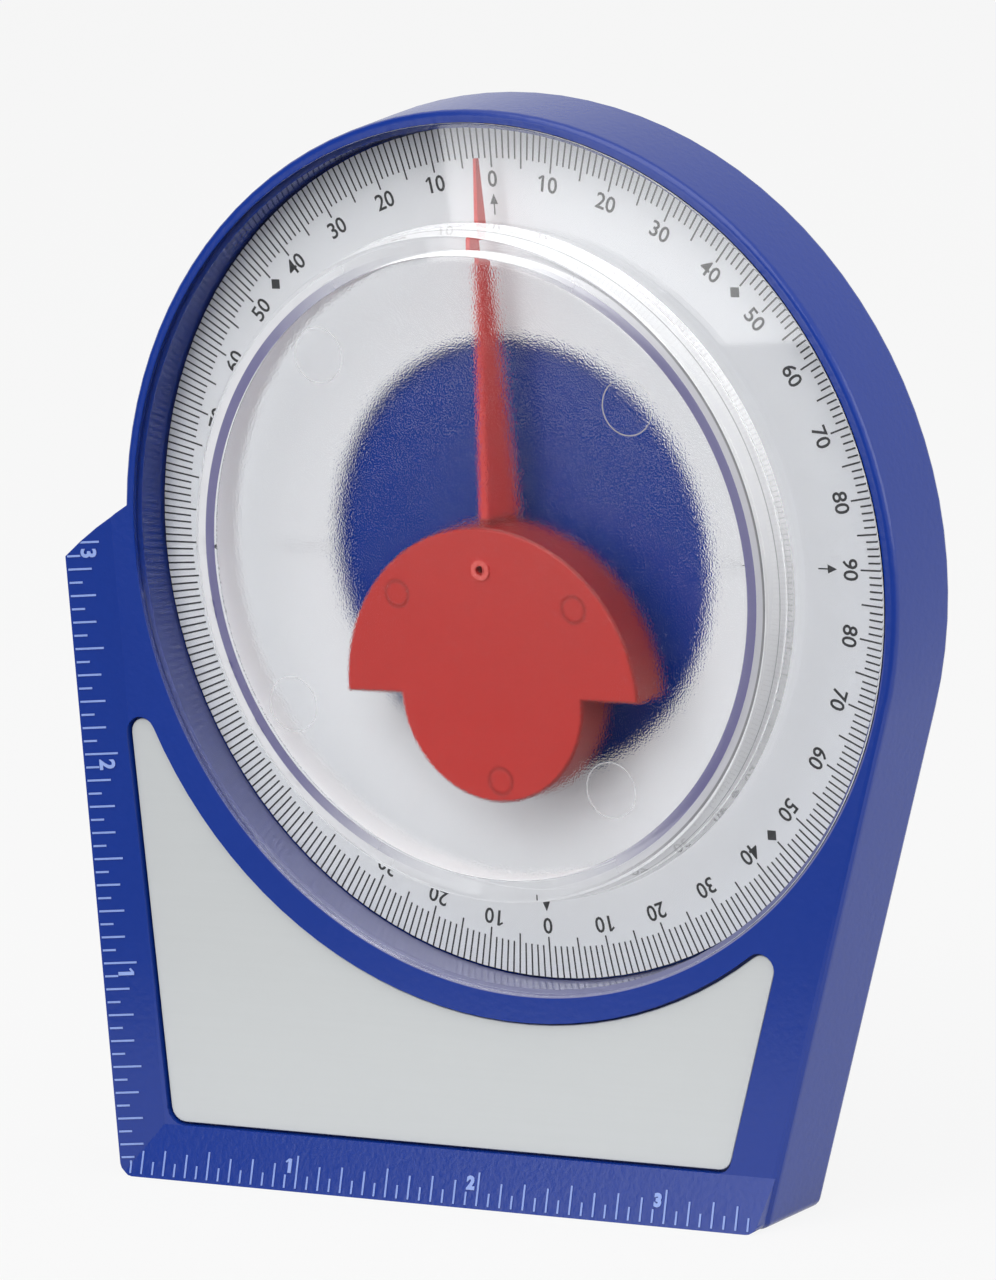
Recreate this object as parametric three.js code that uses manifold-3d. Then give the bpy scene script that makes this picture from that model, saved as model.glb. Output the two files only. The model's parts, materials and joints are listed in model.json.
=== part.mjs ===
// Magnetic angle level: a moulded case with two ruler lips, a round dial under a clear lens,
// and a weighted pendulum that hangs from a pin at the dial's centre and points at the angle.
// Millimetres. X runs right from the left ruler edge, Y runs back from the front ruler edge,
// Z runs up from the base. The finished group is moved so that its origin is at the middle of
// the underside.

import * as THREE from 'three';
import { mergeVertices } from 'three/addons/utils/BufferGeometryUtils.js';
import Module from 'manifold-3d';

const wasm = await Module();
wasm.setup();

// Case outline, seen from the front
const ring_radius = 51.8; // outer radius of the round part at the front face
const ring_stand = 7.2; // round part's distance from the left ruler edge
const base_height = 24.0; // from the base up to the round part
const ring_draft = 0.6; // how much wider the round part is at the back
const side_lean = THREE.MathUtils.degToRad(18.5); // lean of the straight right side
const ear_drop = 0.5; // top of the left ruler edge, below the ring's centre
const ear_radius = 34.5; // radius of the ear's slanting top
const ear_lean = THREE.MathUtils.degToRad(135); // where the ear's top faces at the ruler edge
const corner_round = 1.5; // lower corners of the case

// Case depths, measured back from the front ruler edge
const face_depth = 2.25; // front face behind the ruler edges
const body_depth = 13.4; // back of the case
const front_round = 0.8; // rounding of the front edge of the case
const back_round = 0.8;
const left_lip = 5.4; // width of the sloping ruler lip on the left
const base_lip = 6.2; // height of the sloping ruler lip along the base

// Raised ruler divisions
const inch = 25.4;
const divisions = 16; // in an inch
const base_divisions = 55;
const left_divisions = 48;
const base_ruler_start = -0.3; // where the base ruler's zero lies
const left_ruler_start = 0.67;
const base_mark_foot = 0.38; // marks start this far in from the ruler edge
const left_mark_foot = 0.26;
const mark_width = 0.24;
const mark_rise = 0.1;
const mark_lengths = [1.45, 2.6, 2.8, 3.15, 3.65]; // for sixteenths, eighths, quarters, halves, inches

// Dial well and lens
const fit_gap = 0.3; // clearance between pieces that sit in or on each other
const ring_rim = 1.4; // width of the ring's front face round the lens
const lens_proud = 0.25; // flange in front of the case's face
const flange_thickness = 1.05;
const flange_width = 10.7; // flat flange round the raised window
const window_thickness = 1.2;
const window_wall = 2.0;
const window_taper = 0.2; // the raised wall draws in towards the front
const window_edge = 1.0; // rounding round the window's front
const window_inner_edge = 0.5;
const window_foot = 0.8; // fillet between the window's wall and the flange
const well_ledge = 0.7; // width of the ledge that the lens rests on
const floor_thickness = 2.5;
const dial_thickness = 0.7;
const dial_hole = 25.2; // opening in the middle of the dial card
const well_wall = 1.9; // wall round the well, seen from the hollow base

// Pivot
const pin_radius = 0.8;
const pin_skin = 0.8; // material between the pin's end and the back cover's seat
const pivot_gap = 0.08; // running clearance between pin and bush
const boss_radius = 2.6;
const boss_height = 2.6;
const washer_thickness = 0.4;
const washer_radius = 2.3;
const bush_wall = 1.0;
const push_nut_radius = 1.6;
const push_nut_thickness = 0.4;

// Pendulum, heights measured from the pivot
const pendulum_thickness = 5.8;
const weight_radius = 19.55; // upper half disc
const weight_drop = 14.7; // centre of both half discs below the pivot
const lobe_radius = 12.2; // lower half disc
const weight_bevel = 0.3;
const bush_pocket_skin = 1.8; // material left in front of the bush
const hub_radius = 1.2; // small raised ring round the pivot hole
const hub_rise = 0.2;
const hub_hole = 0.5;
const pointer_root = 5.4; // height at which the pointer's width and slope are given
const pointer_clearance = 3.4; // from the pointer's tip to the dial's edge
const pointer_root_step = 1.5; // ridge at the root behind the weight's front
const pointer_tip_thickness = 0.5;
const ridge_root_width = 1.15;
const ridge_tip_width = 0.35;
const pointer_root_width = 4.0; // across the back of the pointer
const pointer_tip_width = 0.5;
const slug_radius = 7.5;
const slug_thickness = 3.0;
const slug_drop = 17.0; // centre of the steel slug below the pivot
const slug_skin = 0.3; // how far the slug sits inside the back of the weight

// Label plate in its recess
const label_left = 6.35; // left edge at the plate's foot
const label_lean = THREE.MathUtils.degToRad(1.2); // the left edge leans out towards its top
const label_base = 6.5;
const label_side_margin = 6.6; // from the case's straight right side, square to it
const label_thickness = 0.6;
const label_sink = 0.5; // plate's front behind the case's face
const label_ring_margin = 1.7; // curved top edge, outside the ring's radius
const label_arc_shift_x = -1.1; // centre of that curve from the dial's centre
const label_arc_shift_z = -0.45;
const label_corner = 1.8;
const label_right_tip = 1.6;
const label_left_tip = 1.7;
const label_wall = 1.75; // material between the recess and the hollow behind it

// Hollow base, back cover and screws
const cover_thickness = 2.0;
const cover_lip = 1.3; // case wall round the cover
const cover_ledge = 1.5; // width of the ledge that the cover rests on
const cover_base = 8.3; // lower edge of the cover
const cover_bevel = 0.4;
const rib_thickness = 1.2;
const screw_boss = 3.0;
const screw_radius = 0.9;
const screw_head_radius = 2.0;
const screw_head_height = 0.85;
const screw_crown_share = 0.8; // head's flat top, of its radius
const screw_cross_share = 0.6; // cross recess, of the head's radius
const screw_slot_width = 0.55;
const screw_slot_depth = 0.4;
const screw_seat = 1.15; // depth of the pocket for a screw's head
const screw_skin = 0.6; // left between a long screw's tip and the hollow's front
const short_screw_skin = 1.0; // left between a short screw's tip and the dial well
const base_screw_left = 12.5;
const base_screw_right = 12.2; // from the right side
const base_screw_height = 15.0;
const top_screw_inset = 6.2; // from the well's wall
const top_screw_angle = THREE.MathUtils.degToRad(40);

// Magnets in the base
const slot_left = 12.0;
const slot_right = 10.3; // from the right side
const slot_back_wall = 1.6;
const magnet_width = 4.4;
const magnet_height = 5.0;
const magnet_names = ['magnet_left', 'magnet_middle', 'magnet_right'];
const pole_thickness = 1.0;
const pole_height = 5.6;
const magnet_sink = 0.1; // lower edges above the underside

// Number of facets
const ring_steps = 96;
const small_steps = 32;
const tiny_steps = 20;
const corner_steps = 4;
const round_steps = 3;
const overrun = 1.0; // how far cutting shapes reach past what they cut
const weld_distance = 1e-4;

// Sizes that follow from the ones above
const ring_x = ring_stand + ring_radius;
const ring_z = base_height + ring_radius;
const case_width = ring_x + ring_radius + ring_draft;
const lens_radius = ring_radius - ring_rim - fit_gap;
const lens_front = face_depth - lens_proud;
const lens_back = lens_front + flange_thickness;
const ledge_depth = lens_back + fit_gap;
const well_mouth = lens_radius + fit_gap;
const well_radius = well_mouth - well_ledge;
const cover_front = body_depth - cover_thickness;
const cover_seat = cover_front - fit_gap;
const floor_depth = cover_seat - floor_thickness;
const dial_back = floor_depth - fit_gap;
const dial_front = dial_back - dial_thickness;
const dial_radius = well_radius - fit_gap;
const boss_front = floor_depth - boss_height;
const washer_back = boss_front - fit_gap;
const washer_front = washer_back - washer_thickness;
const pendulum_back = washer_front - fit_gap;
const pendulum_front = pendulum_back - pendulum_thickness;
const window_inside = pendulum_front - hub_rise - fit_gap;
const window_front = window_inside - window_thickness;
const window_radius = lens_radius - flange_width;
const bush_front = pendulum_front + bush_pocket_skin;
const bush_bore = pin_radius + pivot_gap;
const bush_radius = bush_bore + bush_wall;
const nut_front = bush_front + fit_gap;
const nut_back = nut_front + push_nut_thickness;
const pin_depth = cover_seat - pin_skin;
const slug_back = pendulum_back - slug_skin;
const pointer_length = dial_radius - pointer_clearance;
const pointer_root_front = pendulum_front + pointer_root_step;
const pointer_tip_front = pendulum_back - pointer_tip_thickness;
const label_arc = ring_radius + label_ring_margin;
const recess_floor = face_depth + label_sink + label_thickness + fit_gap;
const hollow_depth = recess_floor + label_wall;
const slot_back = body_depth - slot_back_wall;
const slot_front = slot_back - magnet_width - 2 * pole_thickness - 4 * fit_gap;
const slot_height = magnet_sink + pole_height + fit_gap;
const slot_length = rightSide(0) - slot_left - slot_right;
const head_seat = body_depth - screw_seat;
const head_front = head_seat + fit_gap / 2;
const case_middle = (window_front + body_depth) / 2;

const paint = (color, roughness, metalness = 0, extra = {}) =>
  new THREE.MeshStandardMaterial({ color, roughness, metalness, ...extra });

const blue_plastic = () => paint(0x2440a0, 0.42);
const red_plastic = () => paint(0xc4403a, 0.45);
const card = () => paint(0xdfe1e4, 0.6);
const clear_plastic = () => paint(0xf2f6f8, 0.08, 0, { transparent: true, opacity: 0.35 });
const silver_plate = () => paint(0xc8cccd, 0.38, 0.35);
const steel = () => paint(0xb9bcc0, 0.3, 0.9);
const brass = () => paint(0xb8924a, 0.35, 0.9);
const nylon = () => paint(0xe8e6dd, 0.5);
const ferrite = () => paint(0x3a3a3d, 0.55, 0.2);

// Keeps only positions, joins shared corners and drops triangles without area
function weld(geometry) {
  const bare = new THREE.BufferGeometry();
  bare.setAttribute('position', geometry.getAttribute('position').clone());
  if (geometry.index) bare.setIndex(geometry.index.clone());
  const joined = mergeVertices(bare, weld_distance);
  const kept = [];
  const order = joined.index.array;
  for (let i = 0; i < order.length; i += 3) {
    const [a, b, c] = [order[i], order[i + 1], order[i + 2]];
    if (a !== b && b !== c && c !== a) kept.push(a, b, c);
  }
  joined.setIndex(kept);
  return joined;
}

function solid(geometry) {
  const joined = weld(geometry);
  return new wasm.Manifold(new wasm.Mesh({
    numProp: 3,
    vertProperties: new Float32Array(joined.getAttribute('position').array),
    triVerts: new Uint32Array(joined.index.array),
  }));
}

function geometryOf(body) {
  const mesh = body.getMesh();
  const geometry = new THREE.BufferGeometry();
  geometry.setAttribute('position', new THREE.BufferAttribute(mesh.vertProperties, 3));
  geometry.setIndex(new THREE.BufferAttribute(mesh.triVerts, 1));
  geometry.computeVertexNormals();
  return geometry;
}

const joinAll = (bodies) => bodies.reduce((sum, body) => sum.add(body));
const cutAll = (body, cuts) => cuts.reduce((left, cut) => left.subtract(cut), body);

// A front-view shape, extruded back from one depth to another
function slab(shape, front, back, bevel = 0) {
  const geometry = new THREE.ExtrudeGeometry(shape, {
    depth: back - front - 2 * bevel,
    curveSegments: small_steps,
    bevelEnabled: bevel > 0,
    bevelThickness: bevel,
    bevelSize: bevel,
    bevelOffset: -bevel,
    bevelSegments: 1,
  });
  geometry.rotateX(Math.PI / 2);
  geometry.translate(0, back - bevel, 0);
  return geometry;
}

// A round bar with its axis front to back
function bar(radius, front, back, x, z, steps = small_steps) {
  const geometry = new THREE.CylinderGeometry(radius, radius, back - front, steps);
  geometry.translate(x, (front + back) / 2, z);
  return geometry;
}

// A profile of [radius, depth] corners, turned about the dial's axis
function turned(profile, steps = ring_steps, x = ring_x, z = ring_z) {
  const points = profile.map(([radius, depth]) => new THREE.Vector2(radius, depth));
  const geometry = new THREE.LatheGeometry(points, steps);
  geometry.translate(x, 0, z);
  return geometry;
}

function block(x0, x1, y0, y1, z0, z1) {
  const geometry = new THREE.BoxGeometry(x1 - x0, y1 - y0, z1 - z0);
  geometry.translate((x0 + x1) / 2, (y0 + y1) / 2, (z0 + z1) / 2);
  return geometry;
}

// Skins a stack of equal loops of 3-D points and closes both ends
function loft(loops) {
  const count = loops[0].length;
  const positions = loops.flat().flatMap((point) => [point.x, point.y, point.z]);
  const faces = [];
  for (let level = 0; level + 1 < loops.length; level += 1) {
    for (let i = 0; i < count; i += 1) {
      const a = level * count + i;
      const b = level * count + ((i + 1) % count);
      faces.push(a, b + count, b, a, a + count, b + count);
    }
  }
  const flat = loops[0].map((point) => new THREE.Vector2(point.x, point.z));
  const last = (loops.length - 1) * count;
  for (const [a, b, c] of THREE.ShapeUtils.triangulateShape(flat, [])) {
    faces.push(a, b, c, last + a, last + c, last + b);
  }
  const geometry = new THREE.BufferGeometry();
  geometry.setAttribute('position', new THREE.Float32BufferAttribute(positions, 3));
  geometry.setIndex(faces);
  return geometry;
}

function onCircle(x, z, radius, angle) {
  return new THREE.Vector2(x + radius * Math.cos(angle), z + radius * Math.sin(angle));
}

function arc(x, z, radius, from, to, steps) {
  return Array.from({ length: steps + 1 }, (_, i) =>
    onCircle(x, z, radius, THREE.MathUtils.lerp(from, to, i / steps)));
}

// Where the ear's top meets a ring of the given radius
function earMeeting(ringRadius, earRadius, earX, earZ) {
  const across = Math.hypot(ring_x - earX, ring_z - earZ);
  const towards = Math.atan2(ring_z - earZ, ring_x - earX);
  const along = (across ** 2 + earRadius ** 2 - ringRadius ** 2) / (2 * across);
  const angle = towards + Math.acos(along / earRadius);
  const point = onCircle(earX, earZ, earRadius, angle);
  return { angle, ringAngle: Math.atan2(point.y - ring_z, point.x - ring_x) };
}

// Where the straight right side runs at a given height, for a ring of the given radius
function rightSide(z, radius = ring_radius, inset = 0) {
  const tangent = onCircle(ring_x, ring_z, radius, -side_lean);
  return tangent.x - (tangent.y - z) * Math.tan(side_lean) - inset / Math.cos(side_lean);
}

// The case's outline: the ring grows by one value, and all edges stand in by another
function caseLoop({ grow = 0, inset = 0, base = 0 }) {
  const radius = ring_radius + grow - inset;
  const corner = Math.max(corner_round - inset, corner_round / 2);
  const earX = ear_radius * -Math.cos(ear_lean);
  const earZ = ring_z - ear_drop - ear_radius * Math.sin(ear_lean);
  const meeting = earMeeting(radius, ear_radius - inset, earX, earZ);
  const earStart = Math.acos((inset - earX) / (ear_radius - inset));
  const footZ = base + corner;
  const footX = rightSide(footZ, radius, corner);
  const top = meeting.ringAngle < 0 ? meeting.ringAngle + 2 * Math.PI : meeting.ringAngle;
  const steps = (angle) => Math.max(2, Math.round(ring_steps * angle / (2 * Math.PI)));
  return [
    ...arc(inset + corner, footZ, corner, Math.PI, 1.5 * Math.PI, corner_steps),
    ...arc(footX, footZ, corner, -0.5 * Math.PI, -side_lean, corner_steps),
    ...arc(ring_x, ring_z, radius, -side_lean, 0, steps(side_lean)),
    ...arc(ring_x, ring_z, radius, 0, Math.PI / 2, steps(Math.PI / 2)).slice(1),
    ...arc(ring_x, ring_z, radius, Math.PI / 2, top, steps(Math.PI / 2)).slice(1),
    ...arc(earX, earZ, ear_radius - inset, meeting.angle, earStart, corner_steps).slice(1),
  ];
}

const caseShape = (sizes) => new THREE.Shape(caseLoop(sizes));
const atDepth = (loop, depth) => loop.map((point) => new THREE.Vector3(point.x, depth, point.y));

function caseBody() {
  const loops = [];
  for (let i = 0; i <= round_steps; i += 1) {
    const angle = (i / round_steps) * Math.PI / 2;
    const grow = -front_round * (1 - Math.sin(angle));
    loops.push(atDepth(caseLoop({ grow }), face_depth + front_round * (1 - Math.cos(angle))));
  }
  for (let i = 0; i <= round_steps; i += 1) {
    const angle = (i / round_steps) * Math.PI / 2;
    const grow = ring_draft - back_round * (1 - Math.cos(angle));
    loops.push(atDepth(caseLoop({ grow }), body_depth - back_round * (1 - Math.sin(angle))));
  }
  return solid(loft(loops));
}

// The two ruler lips slope forward from the front face to the left and lower edges
function rulerLips(rise = 0) {
  const slopeLeft = face_depth / left_lip;
  const slopeBase = face_depth / base_lip;
  const behind = face_depth + front_round;
  const left = new THREE.Shape([
    new THREE.Vector2(-overrun, -overrun * slopeLeft),
    new THREE.Vector2(left_lip, face_depth),
    new THREE.Vector2(left_lip, behind),
    new THREE.Vector2(-overrun, behind),
  ]);
  const leftWedge = new THREE.ExtrudeGeometry(left, { depth: ring_z + ring_radius, bevelEnabled: false });
  const base = new THREE.Shape([
    new THREE.Vector2(-overrun * slopeBase, -overrun),
    new THREE.Vector2(behind, -overrun),
    new THREE.Vector2(behind, base_lip),
    new THREE.Vector2(face_depth, base_lip),
  ]);
  const baseWedge = new THREE.ExtrudeGeometry(base, { depth: case_width, bevelEnabled: false });
  baseWedge.applyMatrix4(new THREE.Matrix4().makeBasis(
    new THREE.Vector3(0, 1, 0), new THREE.Vector3(0, 0, 1), new THREE.Vector3(1, 0, 0)));
  leftWedge.translate(0, -rise, 0);
  baseWedge.translate(0, -rise, 0);
  const edge = caseShape({ grow: -front_round / 2 });
  return solid(slab(edge, -overrun, behind)).intersect(solid(leftWedge).add(solid(baseWedge)));
}

// Length of a ruler mark by what share of an inch it shows
function markLength(count) {
  const halvings = Array.from(mark_lengths, (_, i) => divisions / 2 ** (mark_lengths.length - 1 - i));
  return mark_lengths[halvings.findLastIndex((step) => count % step === 0)];
}

// Raised divisions: strips that reach from inside the case to just above the slope of the lips
function rulerMarks() {
  const pitch = inch / divisions;
  const strip = (x0, x1, z0, z1) => solid(block(x0, x1, -overrun, face_depth, z0, z1));
  const baseMarks = Array.from({ length: base_divisions }, (_, i) => {
    const x = base_ruler_start + (i + 1) * pitch;
    return strip(x - mark_width / 2, x + mark_width / 2, base_mark_foot,
      base_mark_foot + markLength(i + 1));
  });
  const leftMarks = Array.from({ length: left_divisions }, (_, i) => {
    const z = left_ruler_start + (i + 1) * pitch;
    return strip(left_mark_foot, left_mark_foot + markLength(i + 1), z - mark_width / 2,
      z + mark_width / 2);
  });
  const outline = slab(caseShape({ grow: -front_round, inset: left_mark_foot / 2 }), -overrun,
    face_depth);
  return joinAll([...baseMarks, ...leftMarks]).intersect(solid(outline)).intersect(rulerLips(mark_rise));
}

// The label's outline, grown all round by one value
function labelShape(grow = 0) {
  const arcX = ring_x + label_arc_shift_x;
  const arcZ = ring_z + label_arc_shift_z;
  const side = ring_radius - label_side_margin;
  const leftEdge = (z) => label_left - (z - label_base) * Math.tan(label_lean);
  const rightZ = label_base + label_corner;
  const right = new THREE.Vector2(rightSide(rightZ, side, label_corner), rightZ);
  const left = new THREE.Vector2(leftEdge(rightZ) + label_corner, rightZ);
  // each tip's centre lies a tip radius outside the curve and a tip radius inside a straight edge
  const onCurve = (edgeAngle, edgePoint, tip, upper) => {
    const normal = new THREE.Vector2(Math.cos(edgeAngle), Math.sin(edgeAngle));
    const offset = normal.dot(edgePoint) - normal.x * arcX - normal.y * arcZ - tip;
    const along = upper * Math.sqrt((label_arc + tip) ** 2 - offset ** 2);
    return new THREE.Vector2(arcX + normal.x * offset - normal.y * along,
      arcZ + normal.y * offset + normal.x * along);
  };
  const rightTip = onCurve(-side_lean, new THREE.Vector2(rightSide(rightZ, side), rightZ),
    label_right_tip, -1);
  const leftAngle = Math.PI + label_lean;
  const leftTip = onCurve(leftAngle, new THREE.Vector2(leftEdge(rightZ), rightZ), label_left_tip, 1);
  const arcStart = Math.atan2(rightTip.y - arcZ, rightTip.x - arcX);
  const arcEnd = Math.atan2(leftTip.y - arcZ, leftTip.x - arcX);
  const arcSteps = Math.round(ring_steps / 3);
  return new THREE.Shape([
    ...arc(left.x, left.y, label_corner + grow, leftAngle, 1.5 * Math.PI, corner_steps),
    ...arc(right.x, right.y, label_corner + grow, -0.5 * Math.PI, -side_lean, corner_steps),
    ...arc(rightTip.x, rightTip.y, label_right_tip + grow, -side_lean, arcStart + Math.PI,
      2 * corner_steps),
    ...arc(arcX, arcZ, label_arc - grow, arcStart, arcEnd, arcSteps).slice(1, -1),
    ...arc(leftTip.x, leftTip.y, label_left_tip + grow, arcEnd + Math.PI, leftAngle,
      2 * corner_steps),
  ]);
}

const topScrew = well_radius - top_screw_inset;
const screwPlaces = [
  ['lower_left', base_screw_left, base_screw_height, hollow_depth + screw_skin],
  ['lower_right', rightSide(base_screw_height) - base_screw_right, base_screw_height,
    hollow_depth + screw_skin],
  ...[['upper_left', -1], ['upper_right', 1]].map(([side, sign]) => [side,
    ring_x + sign * topScrew * Math.sin(top_screw_angle),
    ring_z + topScrew * Math.cos(top_screw_angle), floor_depth + short_screw_skin]),
].map(([side, x, z, tip]) => ({ name: `cover_screw_${side}`, x, z, tip }));

function housing() {
  const well = turned([
    [0, -overrun],
    [well_mouth, -overrun],
    [well_mouth, ledge_depth],
    [well_radius, ledge_depth],
    [well_radius, floor_depth],
    [boss_radius, floor_depth],
    [boss_radius, boss_front],
    [0, boss_front],
  ]);
  const hollowInset = cover_lip + cover_ledge;
  const hollowBase = cover_base + cover_ledge;
  const wellWall = bar(well_radius + well_wall, 0, body_depth, ring_x, ring_z, ring_steps);
  const hollow = solid(slab(caseShape({ inset: hollowInset, base: hollowBase }), hollow_depth, body_depth))
    .subtract(solid(wellWall));
  const ribs = [1, 2].map((i) => {
    const x = THREE.MathUtils.lerp(screwPlaces[0].x, screwPlaces[1].x, i / 3);
    return solid(block(x - rib_thickness / 2, x + rib_thickness / 2, hollow_depth, cover_seat,
      hollowBase - overrun, ring_z - well_radius));
  });
  const bosses = screwPlaces.slice(0, 2).map((place) =>
    solid(bar(screw_boss, hollow_depth - overrun, cover_seat, place.x, place.z)));
  const coverCut = slab(caseShape({ grow: ring_draft, inset: cover_lip, base: cover_base - fit_gap }),
    cover_seat, body_depth + overrun);
  const pilots = screwPlaces.map((place) => solid(bar(screw_radius + fit_gap / 2,
    place.tip - fit_gap, body_depth, place.x, place.z, tiny_steps)));
  const shell = joinAll([caseBody(), rulerLips(), rulerMarks()]).subtract(hollow);
  return cutAll(joinAll([shell, ...ribs, ...bosses]), [
    solid(well),
    solid(coverCut),
    solid(slab(labelShape(fit_gap), face_depth - overrun, recess_floor)),
    solid(block(slot_left - fit_gap, slot_left + slot_length + fit_gap, slot_front, slot_back,
      -overrun, slot_height)),
    solid(bar(pin_radius + fit_gap / 2, boss_front - overrun, pin_depth + fit_gap, ring_x, ring_z,
      tiny_steps)),
    ...pilots,
  ]);
}

function backCover() {
  const shape = caseShape({ grow: ring_draft, inset: cover_lip + fit_gap, base: cover_base });
  const cuts = screwPlaces.flatMap((place) => [
    solid(bar(screw_head_radius + fit_gap, head_seat, body_depth + overrun, place.x, place.z)),
    solid(bar(screw_radius + fit_gap, cover_front - overrun, body_depth, place.x, place.z, tiny_steps)),
  ]);
  return cutAll(solid(slab(shape, cover_front, body_depth, cover_bevel)), cuts);
}

// A pan-headed screw with a cross recess, driven in from the back
function coverScrew({ x, z, tip }) {
  const top = head_front + screw_head_height;
  const blank = turned([
    [0, tip],
    [screw_radius / 2, tip],
    [screw_radius, tip + screw_radius],
    [screw_radius, head_front],
    [screw_head_radius, head_front],
    [screw_head_radius, head_front + screw_head_height / 2],
    [screw_head_radius * screw_crown_share, top],
    [0, top],
  ], tiny_steps, x, z);
  const reach = screw_head_radius * screw_cross_share;
  const half = screw_slot_width / 2;
  const floor = top - screw_slot_depth;
  return cutAll(solid(blank), [
    solid(block(x - reach, x + reach, floor, top + overrun, z - half, z + half)),
    solid(block(x - half, x + half, floor, top + overrun, z - reach, z + reach)),
  ]);
}

// Corners of a quarter turn between two directions, as [radius, depth] pairs
const rounding = (radius, depth, size, from, to) =>
  arc(radius, depth, size, from, to, round_steps).map((point) => [point.x, point.y]);

function lens() {
  const drawn = window_radius - window_taper;
  const inside = window_radius - window_wall;
  return solid(turned([
    [0, window_front],
    ...rounding(drawn - window_edge, window_front + window_edge, window_edge, -Math.PI / 2, 0),
    ...rounding(window_radius + window_foot, lens_front - window_foot, window_foot, Math.PI, Math.PI / 2),
    [lens_radius, lens_front],
    [lens_radius, lens_back],
    [inside, lens_back],
    ...rounding(inside - window_taper - window_inner_edge, window_inside + window_inner_edge,
      window_inner_edge, 0, -Math.PI / 2),
    [0, window_inside],
  ]));
}

const dial = () => solid(turned([
  [dial_hole, dial_front],
  [dial_radius, dial_front],
  [dial_radius, dial_back],
  [dial_hole, dial_back],
  [dial_hole, dial_front],
]));

// The weight is two half discs; the pointer is a ridge that narrows and sinks towards its tip
function pendulum() {
  const centreZ = ring_z - weight_drop;
  const outline = new THREE.Shape([
    ...arc(ring_x, centreZ, weight_radius, 0, Math.PI, small_steps),
    ...arc(ring_x, centreZ, lobe_radius, Math.PI, 2 * Math.PI, small_steps),
  ]);
  const weight = slab(outline, pendulum_front, pendulum_back, weight_bevel);
  const section = (height, front, ridge, width) => {
    const corner = (half, depth) => new THREE.Vector3(ring_x + half, depth, ring_z + height);
    return [
      corner(-ridge / 2, front),
      corner(ridge / 2, front),
      corner(width / 2, pendulum_back),
      corner(-width / 2, pendulum_back),
    ];
  };
  const slopeShare = -pointer_root / (pointer_length - pointer_root);
  const grown = (tip, root) => THREE.MathUtils.lerp(root, tip, slopeShare);
  const pointer = pointerSolid([
    section(0, grown(pointer_tip_front, pointer_root_front), grown(ridge_tip_width, ridge_root_width),
      grown(pointer_tip_width, pointer_root_width)),
    section(pointer_length, pointer_tip_front, ridge_tip_width, pointer_tip_width),
  ]);
  const hub = bar(hub_radius, pendulum_front - hub_rise, bush_front - fit_gap, ring_x, ring_z, tiny_steps);
  return cutAll(joinAll([solid(weight), pointer, solid(hub)]), [
    solid(bar(hub_hole, pendulum_front - overrun, bush_front + overrun, ring_x, ring_z, tiny_steps)),
    solid(bar(bush_radius + fit_gap, bush_front, pendulum_back + overrun, ring_x, ring_z)),
    solid(bar(slug_radius + fit_gap, slug_back - slug_thickness - fit_gap, pendulum_back + overrun,
      ring_x, ring_z - slug_drop)),
  ]);
}

// Skins the pointer's two four-cornered sections
function pointerSolid([root, tip]) {
  const corners = [...root, ...tip];
  const positions = corners.flatMap((point) => [point.x, point.y, point.z]);
  const faces = [0, 2, 1, 0, 3, 2, 4, 5, 6, 4, 6, 7];
  for (let i = 0; i < 4; i += 1) {
    const next = (i + 1) % 4;
    faces.push(i, next, next + 4, i, next + 4, i + 4);
  }
  const geometry = new THREE.BufferGeometry();
  geometry.setAttribute('position', new THREE.Float32BufferAttribute(positions, 3));
  geometry.setIndex(faces);
  return solid(geometry);
}

const slug = () => solid(bar(slug_radius, slug_back - slug_thickness, slug_back, ring_x,
  ring_z - slug_drop));

const ringSolid = (inner, outer, front, back) => solid(turned([
  [inner, front],
  [outer, front],
  [outer, back],
  [inner, back],
  [inner, front],
], small_steps));

function pin() {
  return solid(turned([
    [0, nut_front],
    [pin_radius / 2, nut_front],
    [pin_radius, nut_front + pin_radius / 2],
    [pin_radius, pin_depth],
    [0, pin_depth],
  ], tiny_steps));
}

const label = () => {
  const front = face_depth + label_sink;
  return solid(slab(labelShape(), front, front + label_thickness));
};

function magnets() {
  const pitch = slot_length / magnet_names.length;
  const front = slot_front + pole_thickness + 2 * fit_gap;
  const top = magnet_sink + pole_height;
  return magnet_names.map((name, i) => {
    const start = slot_left + i * pitch + fit_gap / 2;
    const magnet = block(start, start + pitch - fit_gap, front, front + magnet_width,
      top - magnet_height, top);
    return [name, solid(magnet), ferrite()];
  });
}

function poleStrip(front) {
  return solid(block(slot_left, slot_left + slot_length, front, front + pole_thickness,
    magnet_sink, magnet_sink + pole_height));
}

const instrument = new THREE.Group();
instrument.position.set(-case_width / 2, -case_middle, 0);

const pieces = [
  ['housing', housing(), blue_plastic()],
  ['back_cover', backCover(), blue_plastic()],
  ['lens', lens(), clear_plastic()],
  ['dial', dial(), card()],
  ['label_plate', label(), silver_plate()],
  ['pendulum', pendulum(), red_plastic()],
  ['ballast_slug', slug(), steel()],
  ['pivot_bush', ringSolid(bush_bore, bush_radius, nut_back + fit_gap, pendulum_back), brass()],
  ['pivot_pin', pin(), steel()],
  ['pin_push_nut', ringSolid(pin_radius + fit_gap / 2, push_nut_radius, nut_front, nut_back), steel()],
  ['spacer_washer', ringSolid(pin_radius + fit_gap / 2, washer_radius, washer_front, washer_back),
    nylon()],
  ['pole_strip_front', poleStrip(slot_front + fit_gap), steel()],
  ['pole_strip_back', poleStrip(slot_back - fit_gap - pole_thickness), steel()],
  ...magnets(),
  ...screwPlaces.map((place) => [place.name, coverScrew(place), steel()]),
];

for (const [name, body, material] of pieces) {
  const mesh = new THREE.Mesh(geometryOf(body), material);
  mesh.name = name;
  instrument.add(mesh);
}

const model = new THREE.Group();
model.add(instrument);

export default model;
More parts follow.
